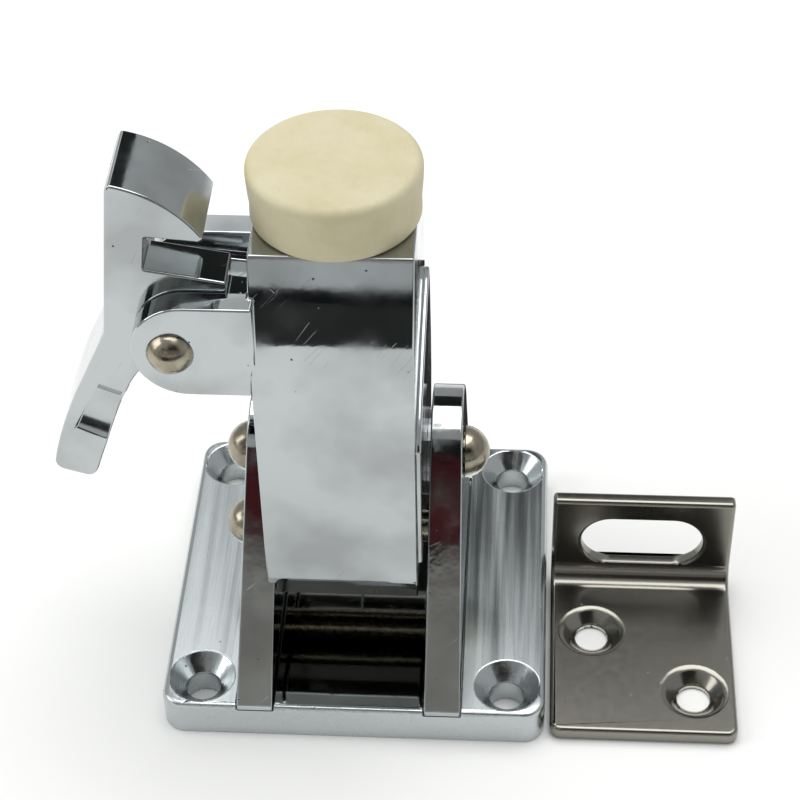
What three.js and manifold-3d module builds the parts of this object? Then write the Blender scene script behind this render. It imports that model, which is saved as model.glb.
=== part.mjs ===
// Cast door holder with a hook lever, a rubber buffer and a slotted strike plate.
// Millimetres, +Z up. The origin is the centre of the base plate's underside.
// +Y points from the open side of the holder to its back, +X to the strike plate.

import * as THREE from 'three';
import { mergeVertices } from 'three/addons/utils/BufferGeometryUtils.js';
import Module from 'manifold-3d';

// ---------------------------------------------------------------- driving dimensions

const PLATE = { width: 60, depth: 60, thick: 6.5, corner: 3.5, edgeBevel: 1 };
const PLATE_HOLE = { spacing: 48, bore: 5.4, sink: 10.4 };

const YOKE = { x: -0.6, gap: 23.6, foot: 5.6, draft: 0.7, seat: 1, rearFoot: 22, lobe: 10.7 };
const PIVOT = { y: 4.5, z: 29.7, shank: 6, headDia: 8.4, headHigh: 3.9 };
const STOP = { y: -1.5, z: 18.7, shank: 5, headDia: 8, headHigh: 3.7, blind: 3 };

const ARM = {
  leftPlay: 0.15, rightPlay: 1.35, front: -18, top: 82.5, bendStart: 58, bendRadius: 58,
  lipLow: 18.6, lipHigh: 23.4, lipSet: 1.1, rearTop: 10, rearLow: 15.2, rearKnee: 46, topRound: 2,
};
const SHOULDER = { out: 1.2, thick: 2.8, above: 5.5, gap: 0.5 };
const HUB = { radius: 9, front: -17.1, frontTop: 50, rearTop: 61 };
const WASHER = { thick: 0.5, dia: 14 };

const PAD = { y: -1.8, dia: 25.2, high: 9.2, round: 1.1 };
const STUD = { disc: 17, discThick: 1.6, shank: 6, length: 12, inset: 2.2 };

const EAR = { reach: 10.1, radius: 8, z: 68.6, nearFront: -17.5, nearThick: 4, farThick: 4.3, slot: 13.4 };
const LEVER_PIN = { fromArm: 12.4, z: 68.4, shank: 4.4, headDia: 6.9, headHigh: 2.5, tailHigh: 1.6 };
const LEVER = {
  lean: 6.2, wall: 5.5, outer: -10.05, topHigh: 25.3, tipX: 3.7, tipHigh: 17.8,
  camRadius: 18.3, tipBlunt: 0.6, notchHigh: 17.1, hub: 5.4, waist: -1.2,
};
const LUG = { width: 7, rootHigh: 11.3, endHigh: 10.5, end: 7.1, toeHigh: 6.4, armGap: 0.4, farWidth: 1.5 };
const SCOOP = { x: -12.6, z: -15.9, radius: 10, deep: 1.6, length: 20, turn: 18 };
const TAIL = {
  kneeX: -14.2, kneeZ: -13.6, heelX: -17.3, heelZ: -28, endX: -12.4, endZ: -30.2, toeX: -10.5, toeZ: -27.4,
};
const SPRING = { wire: 0.9, turns: 3, pinGap: 0.35, armLeg: 7.6, backLeg: 4 };

const STRIKE = {
  gap: 0.8, front: -29.2, width: 29.4, depth: 35.6, thick: 2.5, high: 19.6, bend: 3, corner: 1.8,
};
const STRIKE_SLOT = { length: 19.8, high: 10, z: 10.4 };
const STRIKE_HOLE = { bore: 5.3, sink: 9.8, leftInset: 6.7, rightInset: 22.8, leftY: -8.4, rightY: -20.6 };

const SCREW = {
  shank: 4, head: 7.4, length: 12, sinkDepth: 1.8, recess: 0.2, slot: 0.9, slotDeep: 0.8,
  frontY: -18, rearY: 14,
};

const PIN_CLEARANCE = 0.1;
const SEAT_CLEARANCE = 0.15;
const STACK_GAP = 0.05;
const SLOT_PLAY = 0.15;
const ROUND = 32;

// ---------------------------------------------------------------- finishes

const finish = (color, roughness, metalness) => ({ color, roughness, metalness });
const CHROME = finish(0xc9cccb, 0.12, 1);
const BRUSHED = finish(0xbfc2c0, 0.3, 1);
const NICKEL = finish(0xb3ab9c, 0.25, 1);
const STAINLESS = finish(0xa8a49b, 0.3, 1);
const RUBBER = finish(0xd6cda9, 0.85, 0);
const STEEL = finish(0x8f9092, 0.4, 1);

// ---------------------------------------------------------------- solids

const wasm = await Module();
wasm.setup();

function solid(geometry) {
  geometry.deleteAttribute('normal');
  geometry.deleteAttribute('uv');
  const merged = mergeVertices(geometry, 1e-5);
  return new wasm.Manifold(new wasm.Mesh({
    numProp: 3,
    vertProperties: new Float32Array(merged.attributes.position.array),
    triVerts: new Uint32Array(merged.index.array),
  }));
}

function toGeometry(body) {
  const mesh = body.getMesh();
  const geometry = new THREE.BufferGeometry();
  geometry.setAttribute('position', new THREE.BufferAttribute(new Float32Array(mesh.vertProperties), 3));
  geometry.setIndex(new THREE.BufferAttribute(new Uint32Array(mesh.triVerts), 1));
  geometry.computeVertexNormals();
  return geometry;
}

function piece(name, body, look) {
  const mesh = new THREE.Mesh(toGeometry(body), new THREE.MeshStandardMaterial(look));
  mesh.name = name;
  return mesh;
}

function box(x0, x1, y0, y1, z0, z1) {
  const geometry = new THREE.BoxGeometry(x1 - x0, y1 - y0, z1 - z0);
  geometry.translate((x0 + x1) / 2, (y0 + y1) / 2, (z0 + z1) / 2);
  return solid(geometry);
}

function extruded(shape, depth, curveSegments) {
  return new THREE.ExtrudeGeometry(shape, { depth, bevelEnabled: false, curveSegments });
}

// A shape drawn in Y and Z, carried along X.
function alongX(shape, x0, x1) {
  const geometry = extruded(shape, x1 - x0, 12);
  const turn = new THREE.Matrix4().makeBasis(
    new THREE.Vector3(0, 1, 0), new THREE.Vector3(0, 0, 1), new THREE.Vector3(1, 0, 0));
  geometry.applyMatrix4(turn);
  geometry.translate(x0, 0, 0);
  return solid(geometry);
}

// A shape drawn in X and Z, carried along Y.
function alongY(shape, y0, y1) {
  const geometry = extruded(shape, y1 - y0, 12);
  geometry.rotateX(Math.PI / 2);
  geometry.translate(0, y1, 0);
  return solid(geometry);
}

function alongZ(shape, z0, z1) {
  const geometry = extruded(shape, z1 - z0, 6);
  geometry.translate(0, 0, z0);
  return solid(geometry);
}

// A turned body: pairs of radius and height, starting and ending on the axis.
function turned(profile) {
  return new THREE.LatheGeometry(profile.map(([r, h]) => new THREE.Vector2(r, h)), ROUND);
}

// Lathe bodies have their axis along Y; these lay it along X or Z.
function turnedX(profile, x, y, z) {
  const geometry = turned(profile);
  geometry.rotateZ(-Math.PI / 2);
  geometry.translate(x, y, z);
  return solid(geometry);
}

function turnedY(profile, x, y, z) {
  const geometry = turned(profile);
  geometry.translate(x, y, z);
  return solid(geometry);
}

function turnedZ(profile, x, y, z) {
  const geometry = turned(profile);
  geometry.rotateX(Math.PI / 2);
  geometry.translate(x, y, z);
  return solid(geometry);
}

const rod = (radius, from, to) => [[0, from], [radius, from], [radius, to], [0, to]];

const roundX = (radius, x0, x1, y, z) => turnedX(rod(radius, x0, x1), 0, y, z);
const roundY = (radius, y0, y1, x, z) => turnedY(rod(radius, y0, y1), x, 0, z);
const roundZ = (radius, z0, z1, x, y) => turnedZ(rod(radius, z0, z1), x, y, 0);

// A low dome: the cap of a ball that covers the given base radius at the given height.
function domeProfile(base, high, at, side) {
  const ball = (base * base + high * high) / (2 * high);
  const sweep = Math.asin(Math.min(1, base / ball));
  const points = [];
  const steps = 6;
  for (let i = 0; i <= steps; i += 1) {
    const angle = sweep * (1 - i / steps);
    points.push([ball * Math.sin(angle), at + side * (high - ball + ball * Math.cos(angle))]);
  }
  points[steps][0] = 0;
  return points;
}

// A rivet along one axis: dome, shank, dome. A head of no height is left flat.
function rivetProfile(shank, from, to, low, high) {
  const start = low ? domeProfile(low.dia / 2, low.high, from, -1).reverse() : [[0, from]];
  const end = high ? domeProfile(high.dia / 2, high.high, to, 1) : [[0, to]];
  return [...start, [shank, from], [shank, to], ...end];
}

function roundedRectangle(x0, x1, y0, y1, radius) {
  const shape = new THREE.Shape();
  shape.absarc(x1 - radius, y1 - radius, radius, 0, Math.PI / 2, false);
  shape.absarc(x0 + radius, y1 - radius, radius, Math.PI / 2, Math.PI, false);
  shape.absarc(x0 + radius, y0 + radius, radius, Math.PI, 1.5 * Math.PI, false);
  shape.absarc(x1 - radius, y0 + radius, radius, 1.5 * Math.PI, 2 * Math.PI, false);
  return shape;
}

// A screw hole through a sheet between two heights, countersunk at 90 degrees from its top.
function sunkHole(x, y, bottom, top, bore, sink) {
  const deep = (sink - bore) / 2;
  const over = 1;
  return turnedZ([
    [0, bottom - over], [bore / 2, bottom - over], [bore / 2, top - deep],
    [sink / 2, top], [sink / 2, top + over], [0, top + over],
  ], x, y, 0);
}

// ---------------------------------------------------------------- base plate

const yokeInner = { left: YOKE.x - YOKE.gap / 2, right: YOKE.x + YOKE.gap / 2 };
const cheeks = [
  { name: 'cheek_left', x0: yokeInner.left - YOKE.foot, x1: yokeInner.left, outward: -1 },
  { name: 'cheek_right', x0: yokeInner.right, x1: yokeInner.right + YOKE.foot, outward: 1 },
];
const plateFront = -PLATE.depth / 2;
const seatFloor = PLATE.thick - YOKE.seat;
const stopEnd = yokeInner.right + STOP.blind;
const screwRows = [SCREW.frontY, SCREW.rearY];

function screwProfile(grow, over) {
  return [
    [0, -over], [SCREW.head / 2 + grow, -over], [SCREW.head / 2 + grow, 0],
    [SCREW.shank / 2 + grow, SCREW.sinkDepth], [SCREW.shank / 2 + grow, SCREW.length + grow],
    [0, SCREW.length + grow],
  ];
}

function screwRoom(side, y) {
  return turnedZ(screwProfile(PIN_CLEARANCE, 1), (side.x0 + side.x1) / 2, y, SCREW.recess);
}

function basePlate() {
  const bevel = PLATE.edgeBevel;
  const half = { x: PLATE.width / 2 - bevel, y: PLATE.depth / 2 - bevel };
  const outline = roundedRectangle(-half.x, half.x, -half.y, half.y, PLATE.corner - bevel);
  const slab = new THREE.ExtrudeGeometry(outline, {
    depth: PLATE.thick - bevel, bevelSize: bevel, bevelThickness: bevel, bevelSegments: 2, curveSegments: 6,
  });
  const space = box(-PLATE.width, PLATE.width, -PLATE.depth, PLATE.depth, 0, PLATE.thick);
  let plate = solid(slab).intersect(space);
  for (const x of [-PLATE_HOLE.spacing / 2, PLATE_HOLE.spacing / 2]) {
    for (const y of [-PLATE_HOLE.spacing / 2, PLATE_HOLE.spacing / 2]) {
      plate = plate.subtract(sunkHole(x, y, 0, PLATE.thick, PLATE_HOLE.bore, PLATE_HOLE.sink));
    }
  }
  for (const cheek of cheeks) {
    plate = plate.subtract(box(
      cheek.x0 - SEAT_CLEARANCE, cheek.x1 + SEAT_CLEARANCE,
      plateFront - 1, YOKE.rearFoot + SEAT_CLEARANCE, seatFloor, PLATE.thick + 1));
    for (const y of screwRows) {
      plate = plate.subtract(screwRoom(cheek, y));
    }
  }
  return plate;
}

// ---------------------------------------------------------------- cheeks

// The point where a line from a foot touches the pivot lobe, on the side given by turn.
function lobeTangent(foot, turn) {
  const across = PIVOT.y - foot.y;
  const up = PIVOT.z - foot.z;
  const reach = Math.hypot(across, up);
  const slope = Math.atan2(up, across) + turn * Math.asin(YOKE.lobe / reach);
  const along = Math.sqrt(reach * reach - YOKE.lobe * YOKE.lobe);
  return { y: foot.y + along * Math.cos(slope), z: foot.z + along * Math.sin(slope) };
}

function cheekShape() {
  const frontFoot = { y: plateFront, z: PLATE.thick };
  const rearFoot = { y: YOKE.rearFoot, z: PLATE.thick };
  const front = lobeTangent(frontFoot, 1);
  const rear = lobeTangent(rearFoot, -1);
  const shape = new THREE.Shape();
  shape.moveTo(frontFoot.y, seatFloor);
  shape.lineTo(rearFoot.y, seatFloor);
  shape.lineTo(rearFoot.y, rearFoot.z);
  shape.absarc(
    PIVOT.y, PIVOT.z, YOKE.lobe,
    Math.atan2(rear.z - PIVOT.z, rear.y - PIVOT.y),
    Math.atan2(front.z - PIVOT.z, front.y - PIVOT.y), false);
  shape.lineTo(frontFoot.y, frontFoot.z);
  return shape;
}

// How far the outer face of a cheek has drawn in from its foot at a height.
const drawnIn = (z) => YOKE.draft * (z - PLATE.thick) / (PIVOT.z + YOKE.lobe - PLATE.thick);

// The wedge of a cheek's outer face that its mould's draft takes away.
function draftWedge(side) {
  const face = side.outward > 0 ? side.x1 : side.x0;
  const high = PIVOT.z + YOKE.lobe + 1;
  const shape = new THREE.Shape();
  shape.moveTo(face, PLATE.thick);
  shape.lineTo(face + side.outward * 2, PLATE.thick);
  shape.lineTo(face + side.outward * 2, high);
  shape.lineTo(face - side.outward * drawnIn(high), high);
  return alongY(shape, plateFront - 1, YOKE.rearFoot + 1);
}

function pivotBore(x0, x1) {
  return roundX(PIVOT.shank / 2 + PIN_CLEARANCE, x0 - 1, x1 + 1, PIVOT.y, PIVOT.z);
}

function cheek(side) {
  let body = alongX(cheekShape(), side.x0, side.x1).subtract(draftWedge(side));
  body = body.subtract(pivotBore(side.x0, side.x1));
  const blindEnd = Math.min(side.x1 + 1, stopEnd + STACK_GAP);
  body = body.subtract(roundX(STOP.shank / 2 + PIN_CLEARANCE, side.x0 - 1, blindEnd, STOP.y, STOP.z));
  for (const y of screwRows) {
    body = body.subtract(screwRoom(side, y));
  }
  return body;
}

function cheekScrew(x, y) {
  const slotTop = SCREW.recess + SCREW.slotDeep;
  const slot = box(x - SCREW.head, x + SCREW.head, y - SCREW.slot / 2, y + SCREW.slot / 2, -1, slotTop);
  return turnedZ(screwProfile(0, 0), x, y, SCREW.recess).subtract(slot);
}

// ---------------------------------------------------------------- pins of the yoke

// How far inside its foot a rivet's head seats on a drafted cheek, touching at the head's low edge.
const headSeat = (rivet) => drawnIn(rivet.z - rivet.headDia / 2) - STACK_GAP;

function pivotPin() {
  const head = { dia: PIVOT.headDia, high: PIVOT.headHigh };
  const seat = headSeat(PIVOT);
  return turnedX(rivetProfile(
    PIVOT.shank / 2, cheeks[0].x0 + seat, cheeks[1].x1 - seat, head, head), 0, PIVOT.y, PIVOT.z);
}

function stopPin() {
  const head = { dia: STOP.headDia, high: STOP.headHigh };
  return turnedX(rivetProfile(
    STOP.shank / 2, cheeks[0].x0 + headSeat(STOP), stopEnd, head, null), 0, STOP.y, STOP.z);
}

// ---------------------------------------------------------------- arm

const armSide = { left: yokeInner.left + ARM.leftPlay, right: yokeInner.right - ARM.rightPlay };
armSide.hub = yokeInner.right - WASHER.thick - 2 * STACK_GAP;
armSide.shoulder = armSide.left - SHOULDER.out;
const armMiddle = (armSide.left + armSide.right) / 2;
const padMiddle = (armSide.shoulder + armSide.right) / 2;
const bendSweep = Math.asin((ARM.top - ARM.bendStart) / ARM.bendRadius);
const topFront = ARM.front + ARM.bendRadius * (1 - Math.cos(bendSweep));
const leverPinX = armSide.left - LEVER_PIN.fromArm;

function armShape() {
  const lipFoot = ARM.front + ARM.lipSet;
  const stopTop = STOP.z + STOP.shank / 2 + SLOT_PLAY;
  const shape = new THREE.Shape();
  shape.moveTo(ARM.front, ARM.lipHigh);
  shape.lineTo(lipFoot, ARM.lipLow);
  shape.lineTo(lipFoot + 4, ARM.lipLow);
  shape.lineTo(STOP.y - STOP.shank / 2 - 1.5, stopTop);
  shape.lineTo(STOP.y + 1, stopTop);
  const drop = stopTop - PIVOT.z;
  const low = Math.atan2(drop, -Math.sqrt(HUB.radius ** 2 - drop ** 2));
  shape.absarc(PIVOT.y, PIVOT.z, HUB.radius, low, 0, false);
  shape.lineTo(ARM.rearLow, ARM.rearKnee - 8);
  shape.lineTo(ARM.rearLow, ARM.rearKnee);
  shape.lineTo(ARM.rearTop, ARM.top - ARM.topRound);
  shape.quadraticCurveTo(ARM.rearTop, ARM.top, ARM.rearTop - ARM.topRound, ARM.top);
  shape.lineTo(topFront, ARM.top);
  const bendY = ARM.front + ARM.bendRadius;
  shape.absarc(bendY, ARM.bendStart, ARM.bendRadius, Math.PI - bendSweep, Math.PI, false);
  return shape;
}

// The arm's left side widens above the cheek and, as a lip, in front of it.
function shoulderShape() {
  const above = PIVOT.z + YOKE.lobe + SHOULDER.above;
  const rear = ARM.front + SHOULDER.thick;
  const foot = { y: plateFront, z: PLATE.thick };
  const touch = lobeTangent(foot, 1);
  const over = (y) => foot.z + (y - foot.y) * (touch.z - foot.z) / (touch.y - foot.y) + SHOULDER.gap;
  const shape = new THREE.Shape();
  shape.moveTo(ARM.front - 1, over(ARM.front - 1));
  shape.lineTo(rear, over(rear));
  shape.lineTo(rear, above);
  shape.lineTo(ARM.rearLow + 1, above);
  shape.lineTo(ARM.rearLow + 1, ARM.top + 1);
  shape.lineTo(ARM.front - 1, ARM.top + 1);
  return shape;
}

function hubShape() {
  const shape = new THREE.Shape();
  shape.moveTo(HUB.front, ARM.lipHigh + 3);
  shape.lineTo(PIVOT.y - HUB.radius * 0.8, PIVOT.z - HUB.radius * 0.6);
  shape.absarc(PIVOT.y, PIVOT.z, HUB.radius, Math.PI * 1.205, 0, false);
  shape.lineTo(ARM.rearLow, ARM.rearKnee - 8);
  shape.lineTo(ARM.rearLow, ARM.rearKnee);
  shape.lineTo(ARM.rearLow - 2.6, HUB.rearTop);
  shape.quadraticCurveTo(HUB.front * 0.35, HUB.rearTop - 3, HUB.front, HUB.frontTop);
  return shape;
}

const earEndX = armSide.left - EAR.reach;
const nearEar = { y0: EAR.nearFront, y1: EAR.nearFront + EAR.nearThick };
const farEar = { y0: nearEar.y1 + EAR.slot, y1: nearEar.y1 + EAR.slot + EAR.farThick };

function earShape() {
  const root = armSide.shoulder + 0.8;
  const shape = new THREE.Shape();
  shape.moveTo(root, EAR.z - EAR.radius);
  shape.lineTo(root, EAR.z + EAR.radius);
  shape.absarc(earEndX, EAR.z, EAR.radius, Math.PI / 2, 1.5 * Math.PI, false);
  return shape;
}

const studHole = { bottom: ARM.top - STUD.length - STACK_GAP };

function arm() {
  const profile = armShape();
  const shoulder = alongX(profile, armSide.shoulder, armMiddle)
    .intersect(alongX(shoulderShape(), armSide.shoulder, armMiddle));
  let body = alongX(profile, armSide.left, armSide.right).add(shoulder);
  body = body.add(alongX(hubShape(), armMiddle, armSide.hub));
  body = body.add(alongY(earShape(), nearEar.y0, nearEar.y1));
  body = body.add(alongY(earShape(), farEar.y0, farEar.y1));
  body = body.subtract(pivotBore(armSide.left, armSide.hub));
  body = body.subtract(roundY(
    LEVER_PIN.shank / 2 + PIN_CLEARANCE, nearEar.y0 - 1, farEar.y1 + 1, leverPinX, LEVER_PIN.z));
  body = body.subtract(roundZ(
    STUD.shank / 2 + PIN_CLEARANCE, studHole.bottom, ARM.top + 1, padMiddle, PAD.y));
  return body;
}

function frictionWasher() {
  const x0 = armSide.hub + STACK_GAP;
  const ring = roundX(WASHER.dia / 2, x0, x0 + WASHER.thick, PIVOT.y, PIVOT.z);
  return ring.subtract(pivotBore(x0, x0 + WASHER.thick));
}

// ---------------------------------------------------------------- buffer

const padBottom = ARM.top + STACK_GAP;
const discLow = padBottom + STUD.inset;

function pad() {
  const r = PAD.dia / 2;
  const top = padBottom + PAD.high;
  const body = turnedZ([
    [0, padBottom], [r - PAD.round / 2, padBottom], [r, padBottom + PAD.round],
    [r, top - PAD.round], [r - PAD.round * 0.3, top - PAD.round * 0.3], [r - PAD.round, top], [0, top],
  ], padMiddle, PAD.y, 0);
  const pocket = roundZ(
    STUD.disc / 2 + STACK_GAP, discLow - STACK_GAP, discLow + STUD.discThick + STACK_GAP, padMiddle, PAD.y);
  const neck = roundZ(STUD.shank / 2 + STACK_GAP, padBottom - 1, discLow, padMiddle, PAD.y);
  return body.subtract(pocket.add(neck));
}

function padStud() {
  const r = STUD.shank / 2;
  return turnedZ([
    [0, ARM.top - STUD.length], [r - 0.6, ARM.top - STUD.length], [r, ARM.top - STUD.length + 0.6],
    [r, discLow], [STUD.disc / 2, discLow], [STUD.disc / 2, discLow + STUD.discThick],
    [0, discLow + STUD.discThick],
  ], padMiddle, PAD.y, 0);
}

// ---------------------------------------------------------------- hook lever
// Drawn about its pin and upright; the whole group then leans towards the arm.

const lean = THREE.MathUtils.degToRad(LEVER.lean);
const leverY = { y0: nearEar.y1 + SLOT_PLAY, y1: farEar.y0 - SLOT_PLAY };
const springY = { y0: leverY.y0 + LUG.width, y1: leverY.y1 - LUG.farWidth };
const toeReach = armSide.shoulder - leverPinX - LUG.armGap;
const toeEnd = (toeReach - LUG.toeHigh * Math.sin(lean)) / Math.cos(lean);

// The centre of the cam's arc, which runs from the top corner to the tip.
function camCentre(from, to, radius) {
  const middle = { x: (from.x + to.x) / 2, z: (from.z + to.z) / 2 };
  const half = Math.hypot(to.x - from.x, to.z - from.z) / 2;
  const drop = Math.sqrt(radius * radius - half * half);
  const along = { x: (to.x - from.x) / (2 * half), z: (to.z - from.z) / (2 * half) };
  return { x: middle.x + along.z * drop, z: middle.z - along.x * drop };
}

function leverShape() {
  const inner = LEVER.outer + LEVER.wall;
  const corner = { x: LEVER.outer + 0.5, z: LEVER.topHigh };
  const tip = { x: LEVER.tipX, z: LEVER.tipHigh };
  const cam = camCentre(corner, tip, LEVER.camRadius);
  const shape = new THREE.Shape();
  shape.moveTo(LEVER.outer, LEVER.topHigh - 1);
  shape.lineTo(LEVER.outer, LEVER.waist);
  shape.quadraticCurveTo(LEVER.outer - 1.6, LEVER.waist - 5, TAIL.kneeX, TAIL.kneeZ);
  shape.quadraticCurveTo(TAIL.heelX + 0.4, (TAIL.kneeZ + TAIL.heelZ) / 2 - 2, TAIL.heelX, TAIL.heelZ);
  shape.quadraticCurveTo(TAIL.heelX + 0.2, TAIL.endZ + 1, TAIL.heelX + 1.5, TAIL.endZ + 0.7);
  shape.lineTo(TAIL.endX, TAIL.endZ);
  shape.quadraticCurveTo(TAIL.toeX - 0.4, TAIL.endZ, TAIL.toeX, TAIL.toeZ);
  shape.quadraticCurveTo(TAIL.toeX + 1.7, TAIL.kneeZ - 6, inner - 1.6, -LEVER.hub - 5.2);
  shape.quadraticCurveTo(inner - 0.4, -LEVER.hub - 2, inner + 1.8, -LEVER.hub);
  shape.absarc(0, 0, LEVER.hub, -Math.PI / 2 - 0.45, 0, false);
  shape.lineTo(toeEnd, LEVER.hub - 1.5);
  shape.lineTo(toeEnd, LUG.toeHigh);
  shape.lineTo(LUG.end, LUG.toeHigh);
  shape.lineTo(LUG.end, LUG.endHigh);
  shape.lineTo(inner, LUG.rootHigh);
  shape.lineTo(inner, LEVER.notchHigh);
  shape.lineTo(LEVER.tipX - 0.9, LEVER.tipHigh - LEVER.tipBlunt);
  shape.lineTo(LEVER.tipX, LEVER.tipHigh);
  shape.absarc(
    cam.x, cam.z, LEVER.camRadius,
    Math.atan2(tip.z - cam.z, tip.x - cam.x), Math.atan2(corner.z - cam.z, corner.x - cam.x), false);
  return shape;
}

// A shallow round groove across the front of the tail, open towards the arm.
function thumbScoop() {
  const groove = new THREE.CylinderGeometry(SCOOP.radius, SCOOP.radius, SCOOP.length, ROUND * 2);
  groove.rotateZ(Math.PI / 2);
  groove.translate(SCOOP.length / 2, leverY.y0 + SCOOP.deep - SCOOP.radius, 0);
  groove.rotateY(THREE.MathUtils.degToRad(SCOOP.turn));
  groove.translate(SCOOP.x, 0, SCOOP.z);
  return solid(groove);
}

function hookLever() {
  let body = alongY(leverShape(), leverY.y0, leverY.y1);
  body = body.subtract(roundY(LEVER_PIN.shank / 2 + PIN_CLEARANCE, leverY.y0 - 1, leverY.y1 + 1, 0, 0));
  const inner = LEVER.outer + LEVER.wall;
  const springRoom = box(inner, toeEnd + 1, springY.y0, springY.y1, -LEVER.hub - 3, LEVER.notchHigh - 1);
  const farLug = box(inner, toeEnd + 1, springY.y0, leverY.y1 + 1, LEVER.hub, LEVER.notchHigh - 1);
  return body.subtract(springRoom).subtract(farLug).subtract(thumbScoop());
}

function leverSpring() {
  const coil = LEVER_PIN.shank / 2 + SPRING.pinGap + SPRING.wire / 2;
  const pitch = SPRING.wire * 1.12;
  const span = pitch * SPRING.turns;
  const start = (springY.y0 + springY.y1 - span) / 2;
  const perTurn = 12;
  const count = Math.round(SPRING.turns * perTurn);
  const points = [];
  points.push(new THREE.Vector3(SPRING.armLeg, start, coil));
  points.push(new THREE.Vector3(SPRING.armLeg / 2, start, coil));
  for (let i = 0; i <= count; i += 1) {
    const turn = (i / count) * SPRING.turns * 2 * Math.PI;
    points.push(new THREE.Vector3(-coil * Math.sin(turn), start + (span * i) / count, coil * Math.cos(turn)));
  }
  const last = points[points.length - 1];
  points.push(new THREE.Vector3(last.x - SPRING.backLeg / 2, last.y, last.z));
  points.push(new THREE.Vector3(last.x - SPRING.backLeg, last.y, last.z));
  const section = new THREE.Shape();
  section.absarc(0, 0, SPRING.wire / 2, 0, 2 * Math.PI, false);
  const path = new THREE.CatmullRomCurve3(points, false, 'catmullrom', 0.5);
  return solid(new THREE.ExtrudeGeometry(section, { steps: count + 8, curveSegments: 3, extrudePath: path }));
}

function leverPin() {
  return turnedY(rivetProfile(
    LEVER_PIN.shank / 2, nearEar.y0 - STACK_GAP, farEar.y1 + STACK_GAP,
    { dia: LEVER_PIN.headDia, high: LEVER_PIN.headHigh },
    { dia: LEVER_PIN.headDia, high: LEVER_PIN.tailHigh }), leverPinX, 0, LEVER_PIN.z);
}

// ---------------------------------------------------------------- strike plate

function strikePlate() {
  const back = STRIKE.front + STRIKE.depth;
  const inner = STRIKE.bend;
  const outer = STRIKE.bend + STRIKE.thick;
  const shape = new THREE.Shape();
  shape.moveTo(STRIKE.front, STRIKE.thick);
  shape.lineTo(STRIKE.front, 0);
  shape.absarc(back - outer, outer, outer, -Math.PI / 2, 0, false);
  shape.lineTo(back, STRIKE.high);
  shape.lineTo(back - STRIKE.thick, STRIKE.high);
  shape.absarc(back - outer, outer, inner, 0, -Math.PI / 2, true);
  const left = PLATE.width / 2 + STRIKE.gap;
  const right = left + STRIKE.width;
  const middle = (left + right) / 2;
  let body = alongX(shape, left, right);
  const end = (STRIKE_SLOT.length - STRIKE_SLOT.high) / 2;
  const slot = new THREE.Shape();
  slot.absarc(middle + end, STRIKE_SLOT.z, STRIKE_SLOT.high / 2, -Math.PI / 2, Math.PI / 2, false);
  slot.absarc(middle - end, STRIKE_SLOT.z, STRIKE_SLOT.high / 2, Math.PI / 2, 1.5 * Math.PI, false);
  body = body.subtract(alongY(slot, back - outer - 1, back + 1));
  const holes = [
    { x: left + STRIKE_HOLE.leftInset, y: STRIKE_HOLE.leftY },
    { x: left + STRIKE_HOLE.rightInset, y: STRIKE_HOLE.rightY },
  ];
  for (const hole of holes) {
    body = body.subtract(sunkHole(hole.x, hole.y, 0, STRIKE.thick, STRIKE_HOLE.bore, STRIKE_HOLE.sink));
  }
  const outline = roundedRectangle(left, right, STRIKE.front, back + STRIKE.corner * 2, STRIKE.corner);
  return body.intersect(alongZ(outline, -1, STRIKE.high + 1));
}

// ---------------------------------------------------------------- assembly

const group = new THREE.Group();
group.add(piece('base_plate', basePlate(), BRUSHED));
for (const side of cheeks) {
  group.add(piece(side.name, cheek(side), CHROME));
  screwRows.forEach((y, row) => {
    const name = `${side.name}_screw_${row === 0 ? 'front' : 'rear'}`;
    group.add(piece(name, cheekScrew((side.x0 + side.x1) / 2, y), STEEL));
  });
}
group.add(piece('arm_pivot_rivet', pivotPin(), NICKEL));
group.add(piece('arm_stop_rivet', stopPin(), NICKEL));
group.add(piece('friction_washer', frictionWasher(), STEEL));
group.add(piece('arm', arm(), CHROME));
group.add(piece('pad_stud', padStud(), STEEL));
group.add(piece('buffer_pad', pad(), RUBBER));
group.add(piece('lever_rivet', leverPin(), NICKEL));

const leverGroup = new THREE.Group();
leverGroup.position.set(leverPinX, 0, LEVER_PIN.z);
leverGroup.rotation.y = lean;
leverGroup.add(piece('hook_lever', hookLever(), CHROME));
leverGroup.add(piece('lever_spring', leverSpring(), STEEL));
group.add(leverGroup);

group.add(piece('strike_plate', strikePlate(), STAINLESS));

export default group;
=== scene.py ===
"""Looks of a cast door holder: chrome-plated castings, nickel rivets, a rubber buffer and a stainless strike.

Laid out as an add-on and run as a script: each operator makes one piece, or one group of like pieces.
"""

import math
import random

import bmesh
import bpy
from bpy.props import FloatProperty, FloatVectorProperty, IntProperty, PointerProperty
from mathutils import Matrix, Vector


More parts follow.
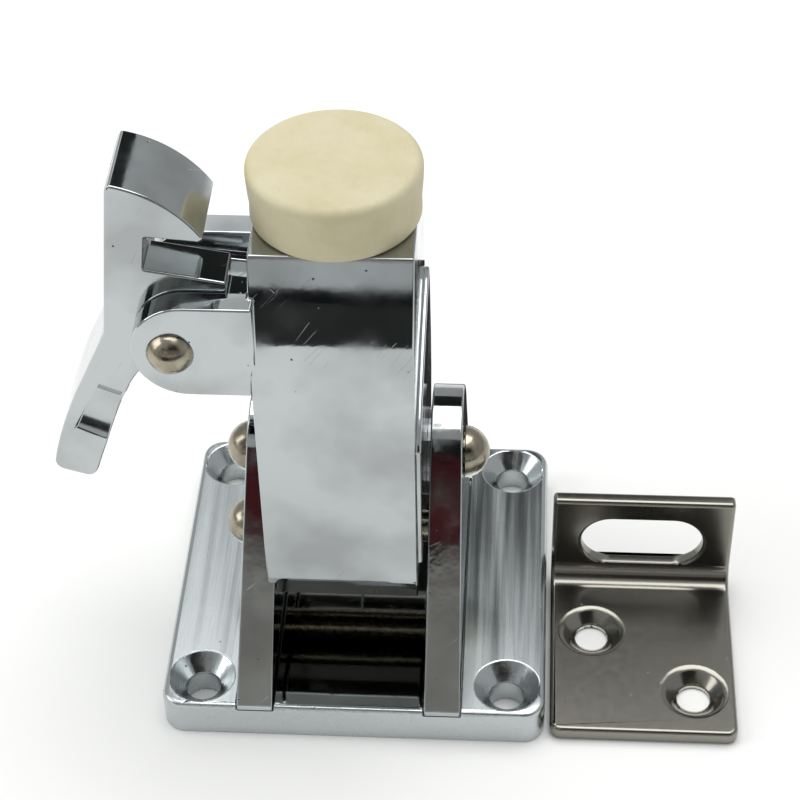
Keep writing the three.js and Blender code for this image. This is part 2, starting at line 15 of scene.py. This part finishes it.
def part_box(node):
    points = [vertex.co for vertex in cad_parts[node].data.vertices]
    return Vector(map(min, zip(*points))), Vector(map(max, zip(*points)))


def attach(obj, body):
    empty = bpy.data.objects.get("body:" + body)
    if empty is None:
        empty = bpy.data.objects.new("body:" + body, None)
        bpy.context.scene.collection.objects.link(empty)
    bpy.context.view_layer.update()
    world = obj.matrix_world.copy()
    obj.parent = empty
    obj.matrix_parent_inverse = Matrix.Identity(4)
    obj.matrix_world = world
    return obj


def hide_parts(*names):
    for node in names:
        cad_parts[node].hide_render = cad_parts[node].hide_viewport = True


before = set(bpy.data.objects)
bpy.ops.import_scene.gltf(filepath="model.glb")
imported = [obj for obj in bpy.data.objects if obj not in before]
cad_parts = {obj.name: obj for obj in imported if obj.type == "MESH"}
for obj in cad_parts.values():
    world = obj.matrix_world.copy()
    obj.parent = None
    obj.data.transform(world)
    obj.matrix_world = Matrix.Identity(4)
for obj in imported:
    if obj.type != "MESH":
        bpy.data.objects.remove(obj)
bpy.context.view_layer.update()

bl_info = {
    "name": "Door Holder Looks",
    "version": (1, 0, 0),
    "blender": (4, 5, 0),
    "location": "3D View > Sidebar > Door Holder",
    "description": "Finishes a door holder and its strike plate around their solid frame",
    "category": "Object",
}

MM = 0.001

# How a solid becomes a polished casting: corners closer than the weld join, faces within the flat angle
# become one, and an edge sharper than the edge angle is rounded in this many steps.
WELD = 0.002 * MM
FLAT_WITHIN = math.radians(0.6)
EDGE_FROM = math.radians(32)
EDGE_STEPS = 3
FACE_WEIGHT = 60

# The base keeps part of a casting's edge round, since its strips are ground after polishing.
BASE_ROUND_SHARE = 0.6
RIVET_ROUND = 0.12 * MM
# The painted shade in the polished channel starts this far behind the base's front edge.
CHANNEL_SETBACK = 3.6 * MM

# The buffer: rounds at its top and foot, crown of its face, how far its side draws in at shares of its
# height, and how far its outline strays from round.
PAD_LIP = 1.3 * MM
PAD_FOOT = 0.5 * MM
PAD_CROWN = 0.25 * MM
PAD_SIDE = ((0.3, 0.35 * MM), (0.45, 0.2 * MM), (0.62, 0.08 * MM))
PAD_UNEVEN = 0.006

FLOOR_SIZE = 2.4
FLOOR_DROP = 0.02 * MM
SKY_STRENGTH = 0.56
SENSOR_WIDTH = 36.0
CLIP_START = 0.01


# ---------------------------------------------------------------- colour

def linear(code):
    """Turns an sRGB hex colour into the linear RGBA that a shader needs."""
    channels = [int(code[i:i + 2], 16) / 255 for i in (1, 3, 5)]
    return tuple(c / 12.92 if c <= 0.04045 else ((c + 0.055) / 1.055) ** 2.4 for c in channels) + (1.0,)


CHROME_SMUDGED = linear("#A6A9AA")
CHROME_IN_PITS = linear("#4C4E4E")
# Grey painted onto the channel behind its mouth as shade.
CHROME_PAINTED_POCKET_SHADE = linear("#75756F")
BASE_IN_PITS = linear("#5A5C5C")
NICKEL_DULLED = linear("#8C8575")
RUBBER_SPECK = linear("#8F8560")
FLOOR_PAPER = linear("#F4F4F2")
SKY = linear("#F2F4F5")


# ---------------------------------------------------------------- user settings

class HolderSizes(bpy.types.PropertyGroup):
    edge_round: FloatProperty(
        name="Edge round", description="Radius that polishing leaves on a casting's edges",
        default=0.32 * MM, unit="LENGTH")
    sheet_round: FloatProperty(
        name="Sheet edge round", description="Radius that tumbling leaves on the strike plate's edges",
        default=0.7 * MM, unit="LENGTH")
    around: IntProperty(
        name="Steps around", description="Steps around a turned piece", default=96, min=24)


class HolderColours(bpy.types.PropertyGroup):
    chrome: FloatVectorProperty(
        name="Chrome", description="Reflected colour of the bright plate",
        subtype="COLOR", size=4, default=linear("#BDC3C4"))
    nickel: FloatVectorProperty(
        name="Nickel", description="Reflected colour of the rivets",
        subtype="COLOR", size=4, default=linear("#A9A291"))
    stainless: FloatVectorProperty(
        name="Stainless", description="Reflected colour of the strike plate",
        subtype="COLOR", size=4, default=linear("#8C8A82"))
    zinc: FloatVectorProperty(
        name="Zinc", description="Reflected colour of the hidden fasteners",
        subtype="COLOR", size=4, default=linear("#A9ABAD"))
    rubber: FloatVectorProperty(
        name="Rubber", description="Colour of the clean buffer",
        subtype="COLOR", size=4, default=linear("#CBC3A4"))
    stain: FloatVectorProperty(
        name="Rubber stain", description="Colour of the buffer's darker patches",
        subtype="COLOR", size=4, default=linear("#C2B893"))


class StageSettings(bpy.types.PropertyGroup):
    lens: FloatProperty(
        name="Lens", description="Focal length on a 36 mm sensor, in millimetres", default=99.4)
    pitch: FloatProperty(
        name="Pitch", description="How far the camera looks down", subtype="ANGLE",
        default=math.radians(42.57))
    yaw: FloatProperty(
        name="Yaw", description="How far the camera is turned to the left", subtype="ANGLE",
        default=math.radians(4.11))
    roll: FloatProperty(
        name="Roll", description="How far the camera is tilted about its view", subtype="ANGLE",
        default=math.radians(-1.31))
    place: FloatVectorProperty(
        name="Camera place", description="Where the camera stands", subtype="TRANSLATION", unit="LENGTH",
        default=(24.39 * MM, -248.9 * MM, 273.8 * MM))


def sizes():
    return bpy.context.scene.holder_sizes


def colours():
    return bpy.context.scene.holder_colours


# ---------------------------------------------------------------- shader nodes

def add(tree, kind, settings=None, **inputs):
    """Adds a node: settings are its own properties, inputs are values or sockets by name (spaces as _)."""
    made = tree.nodes.new(kind)
    for key, value in (settings or {}).items():
        setattr(made, key, value)
    for key, value in inputs.items():
        name = int(key[1:]) if key[0] == "n" and key[1:].isdigit() else key.replace("_", " ")
        socket = made.inputs[name]
        if isinstance(value, bpy.types.NodeSocket):
            tree.links.new(value, socket)
        else:
            socket.default_value = value
    return made


def new_material(name):
    """A material with its tree emptied down to the output, and the object's own coordinates in metres."""
    made = bpy.data.materials.new(name)
    made.use_nodes = True
    tree = made.node_tree
    tree.nodes.clear()
    output = tree.nodes.new("ShaderNodeOutputMaterial")
    place = tree.nodes.new("ShaderNodeTexCoord").outputs["Object"]
    return made, tree, output, place


def per_mm(size):
    """The texture scale at which one pattern cell is this many millimetres."""
    return 1 / (size * MM)


def noise(tree, place, size, detail=2.0, stretch=None, roughness=0.5):
    """Noise whose cells are about this many millimetres, optionally stretched along an axis."""
    if stretch:
        mapped = add(tree, "ShaderNodeMapping", {"vector_type": "POINT"}, Vector=place, Scale=stretch)
        place = mapped.outputs[0]
    return add(
        tree, "ShaderNodeTexNoise", Vector=place, Scale=per_mm(size), Detail=detail, Roughness=roughness
    ).outputs["Fac"]


def remap(tree, value, low, high, to_low, to_high):
    return add(
        tree, "ShaderNodeMapRange", {"clamp": True}, Value=value,
        From_Min=low, From_Max=high, To_Min=to_low, To_Max=to_high).outputs[0]


def combine(tree, operation, first, second):
    """The result of one sum on two values."""
    return add(tree, "ShaderNodeMath", {"operation": operation}, n0=first, n1=second).outputs[0]


def blend(tree, amount, first, second):
    """The first colour going over to the second by this amount."""
    return add(tree, "ShaderNodeMix", {"data_type": "RGBA"}, n0=amount, n6=first, n7=second).outputs[2]


def metal(made, tree, output, colour, rough, surface):
    """Ends a material as bare metal of this colour, roughness and surface."""
    shader = add(
        tree, "ShaderNodeBsdfPrincipled", Base_Color=colour, Metallic=1.0, Roughness=rough, Normal=surface)
    tree.links.new(shader.outputs[0], output.inputs[0])
    return made


def bump(tree, height, depth, below=None):
    """Bump whose full height is this many millimetres, stacked on the one below."""
    inputs = {"Strength": 1.0, "Distance": depth * MM, "Height": height}
    if below is not None:
        inputs["Normal"] = below
    return add(tree, "ShaderNodeBump", **inputs).outputs[0]


def pits(tree, place, spacing, radius):
    """1 in small round pits scattered about this far apart, else 0, with pits missing from some cells."""
    cells = add(
        tree, "ShaderNodeTexVoronoi", {"feature": "F1"}, Vector=place, Scale=per_mm(spacing), Randomness=1.0)
    spot = remap(tree, cells.outputs["Distance"], radius / spacing * 0.5, radius / spacing, 1.0, 0.0)
    shade = add(tree, "ShaderNodeSeparateColor", Color=cells.outputs["Color"])
    kept = combine(tree, "GREATER_THAN", shade.outputs[0], 0.55)
    return combine(tree, "MULTIPLY", spot, kept)


def scratches(tree, place, spacing, angle, keep):
    """Thin straight lines at one angle about X, Y and Z, some of them kept."""
    turned = add(
        tree, "ShaderNodeMapping", {"vector_type": "TEXTURE"}, Vector=place, Rotation=angle,
        Scale=(14.0, 1.0, 14.0))
    cells = add(
        tree, "ShaderNodeTexVoronoi", {"feature": "DISTANCE_TO_EDGE"}, Vector=turned.outputs[0],
        Scale=per_mm(spacing), Randomness=1.0)
    line = remap(tree, cells.outputs["Distance"], 0.0, 0.007, 1.0, 0.0)
    patch = remap(tree, noise(tree, place, 6.0, 1.0), keep, keep + 0.06, 0.0, 1.0)
    return combine(tree, "MULTIPLY", line, patch)


# ---------------------------------------------------------------- materials

def chrome_on_casting():
    """Bright chromium plate over a hand-polished casting: a cool rippling mirror, pits and hairlines."""
    made, tree, output, place = new_material("chrome_plate_polished_casting")
    ripple = noise(tree, place, 16.0, 1.0)
    peel = noise(tree, place, 2.6, 2.0)
    pit = pits(tree, place, 3.4, 0.22)
    hair = scratches(tree, place, 1.6, (0.4, 0.5, 0.9), 0.62)
    # The ripple is the polisher's wheel marks, 16 mm across; the peel is the casting's skin below the plate.
    surface = bump(tree, ripple, 0.07)
    surface = bump(tree, peel, 0.012, surface)
    surface = bump(tree, pit, -0.05, surface)
    surface = bump(tree, hair, -0.01, surface)
    haze = remap(tree, noise(tree, place, 7.0, 3.0), 0.4, 0.68, 0.05, 0.15)
    rough = combine(tree, "MAXIMUM", haze, remap(tree, pit, 0, 1, 0.0, 0.5))
    rough = combine(tree, "MAXIMUM", rough, remap(tree, hair, 0, 1, 0.0, 0.3))
    # Handling leaves broad dulled smudges, about 15 mm across.
    smudge = remap(tree, noise(tree, place, 15.0, 3.0), 0.42, 0.66, 0.0, 1.0)
    colour = blend(tree, smudge, colours().chrome, CHROME_SMUDGED)
    colour = blend(tree, pit, colour, CHROME_IN_PITS)
    return metal(made, tree, output, colour, rough, surface)


def chrome_on_brushed_plate(channel):
    """Chromium plate over a base whose strips were belt-ground along Y and whose channel was polished.

    The ground strips smear reflections into long streaks; the channel stays a mirror, painted greyer behind
    its mouth as shade.
    """
    made, tree, output, place = new_material("chrome_plate_belt_ground_base")
    parts = add(tree, "ShaderNodeSeparateXYZ", Vector=place)
    left = remap(tree, parts.outputs[0], channel[0] - 0.1 * MM, channel[0] + 0.1 * MM, 0.0, 1.0)
    right = remap(tree, parts.outputs[0], channel[1] - 0.1 * MM, channel[1] + 0.1 * MM, 1.0, 0.0)
    across = combine(tree, "MULTIPLY", left, right)
    behind = remap(tree, parts.outputs[1], channel[2] - 0.6 * MM, channel[2] + 0.2 * MM, 0.0, 1.0)
    top = remap(tree, parts.outputs[2], channel[3] - 0.2 * MM, channel[3] - 0.1 * MM, 0.0, 1.0)
    mirror = combine(tree, "MULTIPLY", across, top)
    # Mask of painted shade: the channel behind its mouth.
    painted_pocket_shade = combine(tree, "MULTIPLY", mirror, behind)
    ground = remap(tree, mirror, 0, 1, 1.0, 0.0)
    # Grit lines are 0.05 mm apart on the real one; these are drawn at 0.35 mm so that they show.
    fine = noise(tree, place, 0.35, 2.0, (1.0, 0.018, 1.0))
    broad = noise(tree, place, 2.2, 2.0, (1.0, 0.03, 1.0))
    ripple = noise(tree, place, 16.0, 1.0)
    pit = pits(tree, place, 4.4, 0.2)
    lines = combine(tree, "MULTIPLY", fine, ground)
    swells = combine(tree, "MULTIPLY", broad, ground)
    surface = bump(tree, ripple, 0.06)
    surface = bump(tree, swells, 0.045, surface)
    surface = bump(tree, lines, 0.012, surface)
    surface = bump(tree, pit, -0.05, surface)
    ground_haze = remap(tree, broad, 0.35, 0.7, 0.16, 0.32)
    rough = add(
        tree, "ShaderNodeMix", {"data_type": "FLOAT"}, n0=ground, n2=0.05, n3=ground_haze).outputs[0]
    # Behind its mouth the channel's plate is painted greyer: painted shade in the pocket.
    colour = blend(tree, painted_pocket_shade, colours().chrome, CHROME_PAINTED_POCKET_SHADE)
    colour = blend(tree, pit, colour, BASE_IN_PITS)
    return metal(made, tree, output, colour, rough, surface)


def nickel_rivet():
    """Barrel-plated nickel over a headed rivet: warm and slightly dulled, with handling marks."""
    made, tree, output, place = new_material("nickel_plate_headed_rivet")
    mark = noise(tree, place, 1.1, 3.0)
    surface = bump(tree, mark, 0.025)
    surface = bump(tree, noise(tree, place, 0.3, 2.0), 0.006, surface)
    rough = remap(tree, mark, 0.35, 0.7, 0.16, 0.34)
    tint = remap(tree, noise(tree, place, 2.5, 2.0), 0.35, 0.7, 0.0, 1.0)
    colour = blend(tree, tint, colours().nickel, NICKEL_DULLED)
    return metal(made, tree, output, colour, rough, surface)


def tumbled_stainless():
    """Stainless sheet, pressed and tumbled: a warm soft mirror with a fine grain and small nicks."""
    made, tree, output, place = new_material("stainless_sheet_tumbled")
    grain = noise(tree, place, 0.3, 3.0)
    swell = noise(tree, place, 9.0, 1.0)
    pit = pits(tree, place, 2.6, 0.16)
    surface = bump(tree, swell, 0.0015)
    surface = bump(tree, grain, 0.0006, surface)
    surface = bump(tree, pit, -0.04, surface)
    rough = remap(tree, noise(tree, place, 1.2, 3.0), 0.35, 0.7, 0.2, 0.22)
    return metal(made, tree, output, colours().stainless, rough, surface)


def zinc_steel():
    """Zinc-plated steel of small fasteners and springs: grey, satin and faintly blotched."""
    made, tree, output, place = new_material("zinc_plate_drawn_steel")
    blotch = noise(tree, place, 1.5, 3.0)
    surface = bump(tree, noise(tree, place, 0.4, 2.0), 0.01)
    rough = remap(tree, blotch, 0.35, 0.7, 0.28, 0.45)
    return metal(made, tree, output, colours().zinc, rough, surface)


def moulded_rubber():
    """Natural rubber moulded in a plain steel tool: matt ivory, yellowed patches, specks, fine skin."""
    made, tree, output, place = new_material("natural_rubber_moulded")
    patch = remap(tree, noise(tree, place, 6.0, 4.0, roughness=0.65), 0.38, 0.75, 0.0, 1.0)
    colour = blend(tree, patch, colours().rubber, colours().stain)
    speck = pits(tree, place, 2.8, 0.17)
    soft_speck = remap(tree, speck, 0, 1, 0.0, 0.45)
    colour = blend(tree, soft_speck, colour, RUBBER_SPECK)
    surface = bump(tree, noise(tree, place, 4.0, 3.0), 0.12)
    surface = bump(tree, noise(tree, place, 0.45, 3.0), 0.035, surface)
    surface = bump(tree, pits(tree, place, 1.7, 0.12), -0.05, surface)
    rough = remap(tree, patch, 0, 1, 0.62, 0.78)
    shader = add(
        tree, "ShaderNodeBsdfPrincipled", Base_Color=colour, Roughness=rough, IOR=1.52, Normal=surface,
        Subsurface_Weight=0.06, Subsurface_Radius=(1.4 * MM, 1.1 * MM, 0.6 * MM), Subsurface_Scale=1.0)
    tree.links.new(shader.outputs[0], output.inputs[0])
    return made


def made_material(name, maker, *args):
    """The material of this name, made on first use."""
    return bpy.data.materials.get(name) or maker(*args)


# ---------------------------------------------------------------- meshes

def show(obj, body, slot, material, *nodes):
    """Puts a new piece in the scene, on its body, in place of the nodes that it stands for."""
    obj.data.materials.clear()
    obj.data.materials.append(material)
    if obj.name not in bpy.context.scene.collection.all_objects:
        bpy.context.scene.collection.objects.link(obj)
    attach(obj, body)
    if nodes:
        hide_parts(*nodes)
    return obj


def apply_modifiers(obj):
    bpy.context.view_layer.update()
    depsgraph = bpy.context.evaluated_depsgraph_get()
    baked = bpy.data.meshes.new_from_object(obj.evaluated_get(depsgraph))
    obj.modifiers.clear()
    obj.data = baked


def finished_casting(node, name, width):
    """A copy of a solid with flat faces made whole and every edge rounded, as polishing leaves it."""
    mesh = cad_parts[node].data.copy()
    work = bmesh.new()
    work.from_mesh(mesh)
    bmesh.ops.remove_doubles(work, verts=work.verts, dist=WELD)
    bmesh.ops.dissolve_limit(
        work, angle_limit=FLAT_WITHIN, use_dissolve_boundaries=False, verts=work.verts, edges=work.edges)
    for face in work.faces:
        face.smooth = True
    work.to_mesh(mesh)
    work.free()
    obj = bpy.data.objects.new(name, mesh)
    bpy.context.scene.collection.objects.link(obj)
    round_edges = obj.modifiers.new("round", "BEVEL")
    round_edges.width = width
    round_edges.segments = EDGE_STEPS
    round_edges.limit_method = "ANGLE"
    round_edges.angle_limit = EDGE_FROM
    round_edges.use_clamp_overlap = False
    round_edges.miter_outer = "MITER_ARC"
    weigh = obj.modifiers.new("flats", "WEIGHTED_NORMAL")
    weigh.mode = "FACE_AREA"
    weigh.weight = FACE_WEIGHT
    weigh.keep_sharp = True
    apply_modifiers(obj)
    return obj


def turned(name, profile, steps):
    """A lathe body about Z: profile is radius and height pairs, starting and ending on the axis."""
    work = bmesh.new()
    rings = []
    for radius, height in profile:
        if radius < 1e-7:
            rings.append([work.verts.new((0, 0, height))])
            continue
        rings.append([
            work.verts.new((radius * math.cos(a), radius * math.sin(a), height))
            for a in (2 * math.pi * i / steps for i in range(steps))])
    for low, high in zip(rings, rings[1:]):
        for i in range(steps):
            j = (i + 1) % steps
            if len(low) == 1:
                work.faces.new((low[0], high[j], high[i]))
            elif len(high) == 1:
                work.faces.new((low[i], low[j], high[0]))
            else:
                work.faces.new((low[i], low[j], high[j], high[i]))
    bmesh.ops.recalc_face_normals(work, faces=work.faces)
    for face in work.faces:
        face.smooth = True
    mesh = bpy.data.meshes.new(name)
    work.to_mesh(mesh)
    work.free()
    return bpy.data.objects.new(name, mesh)


def arc_points(centre, radius, start, end, count):
    """Points on an arc, angles in degrees."""
    return [
        (centre[0] + radius * math.cos(math.radians(start + (end - start) * i / count)),
         centre[1] + radius * math.sin(math.radians(start + (end - start) * i / count)))
        for i in range(count + 1)]


# ---------------------------------------------------------------- stage

def plane(name, place_at, extent, turn):
    """A flat stage sheet, centred at a place and turned by X, Y and Z degrees."""
    half_x, half_y = extent[0] / 2, extent[1] / 2
    mesh = bpy.data.meshes.new(name)
    corners = [(-half_x, -half_y, 0), (half_x, -half_y, 0), (half_x, half_y, 0), (-half_x, half_y, 0)]
    mesh.from_pydata(corners, [], [(0, 1, 2, 3)])
    obj = bpy.data.objects.new(name, mesh)
    obj.location = place_at
    obj.rotation_euler = [math.radians(a) for a in turn]
    bpy.context.scene.collection.objects.link(obj)
    return obj


# Name, centre and size in metres, turn in degrees, colour: what stands round the object and shows only in its
# metal.
CARDS = (
    ("front_table", (0.0, -0.73, 0.001), (2.4, 1.0), (0, 0, 0), "#08090A"),
    ("front_dado", (0.0, -1.24, 0.05), (3.0, 0.1), (90, 0, 0), "#08090A"),
    ("front_wall", (0.0, -1.24, 0.22), (3.0, 0.24), (90, 0, 0), "#E6E8E8"),
    ("room_low", (0.0, -1.25, 0.62), (3.4, 0.57), (90, 0, 0), "#B5B1AA"),
    ("room_right", (0.8, -1.25, 1.7), (1.78, 1.59), (90, 0, 0), "#0C0C0E"),
    ("room_left", (-0.9, -1.25, 1.02), (1.62, 0.23), (90, 0, 0), "#0C0C0E"),
    ("coat", (-0.05, -1.24, 0.965), (0.5, 0.1), (90, 0, 0), "#5A1118"),
    ("window", (-0.42, -1.22, 0.72), (0.3, 0.34), (90, 0, 0), "#FFFFFF"),
    # rear_dark: a dark sheet on the floor behind the base, seen only in the metal: painted shade in the
    # pocket's reflections.
    ("rear_dark", (0.001, 0.06, 0.001), (0.053, 0.056), (0, 0, 0), "#0C0D0E"),
    ("rear_wall", (0.035, 0.8, 0.8), (0.27, 0.66), (90, 0, 0), "#1C1E1E"),
    ("rear_left", (-0.22, 0.8, 0.86), (0.22, 0.5), (90, 0, 0), "#FFFFFF"),
)

# Name, place, aim, size in metres, power in watts.
LAMPS = (
    ("overhead", (0.05, 0.2, 0.9), (0, 0, 0.03), (0.9, 0.7), 6.0),
    ("left_soft", (-0.8, -0.1, 0.55), (0, 0, 0.04), (0.5, 0.6), 2.6),
)


# ---------------------------------------------------------------- operators

class HOLDER_OT_stage(bpy.types.Operator):
    """Makes the floor, the soft lights, the dark cards that the chrome reflects, and the camera"""
    bl_idname = "holder.stage"
    bl_label = "Stage"

    def execute(self, context):
        look = context.scene.stage_settings
        floor = plane("floor", (0, 0, -FLOOR_DROP), (FLOOR_SIZE, FLOOR_SIZE), (0, 0, 0))
        made, tree, output, place = new_material("pale_paper_floor")
        grain = noise(tree, place, 3.0, 2.0)
        shader = add(
            tree, "ShaderNodeBsdfPrincipled", Base_Color=FLOOR_PAPER, Roughness=0.9,
            Normal=bump(tree, grain, 0.02))
        tree.links.new(shader.outputs[0], output.inputs[0])
        floor.data.materials.append(made)
        for name, place_at, extent, turn, code in CARDS:
            card = plane(name, place_at, extent, turn)
            made, tree, output, _ = new_material(name + "_card")
            shader = add(tree, "ShaderNodeBsdfPrincipled", Base_Color=linear(code), Roughness=0.95)
            tree.links.new(shader.outputs[0], output.inputs[0])
            card.data.materials.append(made)
            card.visible_camera = False
            card.visible_diffuse = False
            card.visible_shadow = False
        for name, place_at, aim, extent, power in LAMPS:
            lamp = bpy.data.lights.new(name, "AREA")
            lamp.shape = "RECTANGLE"
            lamp.size, lamp.size_y = extent
            lamp.energy = power
            obj = bpy.data.objects.new(name, lamp)
            obj.location = place_at
            obj.rotation_euler = (Vector(aim) - Vector(place_at)).to_track_quat("-Z", "Y").to_euler()
            context.scene.collection.objects.link(obj)
        world = bpy.data.worlds.new("studio")
        context.scene.world = world
        world.use_nodes = True
        tree = world.node_tree
        tree.nodes.clear()
        sky = add(tree, "ShaderNodeBackground", Color=SKY, Strength=SKY_STRENGTH)
        tree.links.new(sky.outputs[0], add(tree, "ShaderNodeOutputWorld").inputs[0])
        camera = bpy.data.objects.new("camera", bpy.data.cameras.new("camera"))
        context.scene.collection.objects.link(camera)
        camera.data.sensor_width = SENSOR_WIDTH
        camera.data.lens = look.lens
        camera.data.clip_start = CLIP_START
        camera.matrix_world = (
            Matrix.Translation(look.place)
            @ Matrix.Rotation(look.yaw, 4, "Z")
            @ Matrix.Rotation(math.pi / 2 - look.pitch, 4, "X")
            @ Matrix.Rotation(look.roll, 4, "Z"))
        context.scene.camera = camera
        context.scene.view_settings.view_transform = "Standard"
        return {"FINISHED"}


class HOLDER_OT_base(bpy.types.Operator):
    """Makes the base plate with its ground strips and polished channel"""
    bl_idname = "holder.base"
    bl_label = "Base plate"

    def execute(self, context):
        low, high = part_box("base_plate")
        left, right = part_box("cheek_left")[1][0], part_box("cheek_right")[0][0]
        # The third item is where the channel's painted shade starts.
        channel = (left, right, low[1] + CHANNEL_SETBACK, high[2])
        plate = finished_casting("base_plate", "base_plate_finished", sizes().edge_round * BASE_ROUND_SHARE)
        material = made_material("chrome_plate_belt_ground_base", chrome_on_brushed_plate, channel)
        show(plate, "base", "plated_base", material, "base_plate")
        return {"FINISHED"}


class HOLDER_OT_castings(bpy.types.Operator):
    """Makes the polished castings: the cheeks, the arm and the hook lever"""
    bl_idname = "holder.castings"
    bl_label = "Polished castings"

    def execute(self, context):
        material = made_material("chrome_plate_polished_casting", chrome_on_casting)
        castings = (("cheek_left", "base"), ("cheek_right", "base"), ("arm", "arm"), ("hook_lever", "lever"))
        for node, body in castings:
            piece = finished_casting(node, node + "_finished", sizes().edge_round)
            show(piece, body, "chrome_plate", material, node)
        return {"FINISHED"}


class HOLDER_OT_rivets(bpy.types.Operator):
    """Makes the headed rivets"""
    bl_idname = "holder.rivets"
    bl_label = "Rivets"

    def execute(self, context):
        material = made_material("nickel_plate_headed_rivet", nickel_rivet)
        for node, body in (("arm_pivot_rivet", "base"), ("arm_stop_rivet", "base"), ("lever_rivet", "arm")):
            piece = finished_casting(node, node + "_finished", RIVET_ROUND)
            show(piece, body, "nickel_rivet", material, node)
        return {"FINISHED"}


class HOLDER_OT_fasteners(bpy.types.Operator):
    """Gives the screws, washer, stud and spring their plated finish"""
    bl_idname = "holder.fasteners"
    bl_label = "Small fasteners"

    def execute(self, context):
        material = made_material("zinc_plate_drawn_steel", zinc_steel)
        for node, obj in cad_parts.items():
            if "screw" in node or node in ("friction_washer", "pad_stud", "lever_spring"):
                obj.data.materials.clear()
                obj.data.materials.append(material)
        return {"FINISHED"}


class HOLDER_OT_buffer(bpy.types.Operator):
    """Makes the rubber buffer as a slightly crowned moulding"""
    bl_idname = "holder.buffer"
    bl_label = "Rubber buffer"

    def execute(self, context):
        low, high = (Vector(v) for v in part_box("buffer_pad"))
        centre = (low + high) / 2
        radius = (high.x - low.x) / 2
        tall = high.z - low.z
        foot_centre = radius - PAD_FOOT * 1.6
        profile = [(0, 0), (radius * 0.5, 0), (foot_centre, 0)]
        profile += arc_points((foot_centre, PAD_FOOT), PAD_FOOT, -90, 0, 4)[1:]
        profile += [(radius - drawn, tall * share) for share, drawn in PAD_SIDE]
        profile += arc_points((radius - PAD_LIP, tall - PAD_CROWN - PAD_LIP), PAD_LIP, 0, 90, 8)
        profile += [(radius * f, tall - PAD_CROWN * f ** 4) for f in (0.8, 0.6, 0.4, 0.2)]
        profile.append((0, tall))
        pad = turned("buffer_pad_moulded", profile, sizes().around)
        wobble = random.Random(7)
        waves = [(n, wobble.uniform(-1, 1), wobble.uniform(0, 6.28)) for n in (2, 3, 5, 8)]
        for vert in pad.data.vertices:
            reach = math.hypot(vert.co.x, vert.co.y) / radius
            turn = math.atan2(vert.co.y, vert.co.x)
            swell = sum(a * math.sin(n * turn + p) / n for n, a, p in waves)
            drawn_in = 1 - PAD_UNEVEN * reach * (1 + swell)
            vert.co.x *= drawn_in
            vert.co.y *= drawn_in
            vert.co += Vector((centre.x, centre.y, low.z))
        material = made_material("natural_rubber_moulded", moulded_rubber)
        show(pad, "arm", "buffer_rubber", material, "buffer_pad")
        return {"FINISHED"}


class HOLDER_OT_strike(bpy.types.Operator):
    """Makes the folded strike plate"""
    bl_idname = "holder.strike"
    bl_label = "Strike plate"

    def execute(self, context):
        piece = finished_casting("strike_plate", "strike_plate_finished", sizes().sheet_round)
        material = made_material("stainless_sheet_tumbled", tumbled_stainless)
        show(piece, "base", "stainless_strike", material, "strike_plate")
        return {"FINISHED"}


OPERATORS = (
    HOLDER_OT_stage, HOLDER_OT_base, HOLDER_OT_castings, HOLDER_OT_rivets, HOLDER_OT_fasteners,
    HOLDER_OT_buffer, HOLDER_OT_strike,
)


class HOLDER_PT_panel(bpy.types.Panel):
    """Lists the door holder's pieces"""
    bl_idname = "HOLDER_PT_panel"
    bl_label = "Door Holder"
    bl_space_type = "VIEW_3D"
    bl_region_type = "UI"
    bl_category = "Door Holder"

    def draw(self, context):
        for operator in OPERATORS:
            self.layout.operator(operator.bl_idname)
        for group in (context.scene.holder_sizes, context.scene.holder_colours, context.scene.stage_settings):
            for name in group.bl_rna.properties.keys():
                if name not in ("name", "rna_type"):
                    self.layout.prop(group, name)


CLASSES = (HolderSizes, HolderColours, StageSettings, *OPERATORS, HOLDER_PT_panel)


def register():
    for each in CLASSES:
        bpy.utils.register_class(each)
    bpy.types.Scene.holder_sizes = PointerProperty(type=HolderSizes)
    bpy.types.Scene.holder_colours = PointerProperty(type=HolderColours)
    bpy.types.Scene.stage_settings = PointerProperty(type=StageSettings)


def unregister():
    del bpy.types.Scene.stage_settings
    del bpy.types.Scene.holder_colours
    del bpy.types.Scene.holder_sizes
    for each in reversed(CLASSES):
        bpy.utils.unregister_class(each)


def main():
    register()
    bpy.ops.holder.stage()
    bpy.ops.holder.base()
    bpy.ops.holder.castings()
    bpy.ops.holder.rivets()
    bpy.ops.holder.fasteners()
    bpy.ops.holder.buffer()
    bpy.ops.holder.strike()


if __name__ == "__main__":
    main()
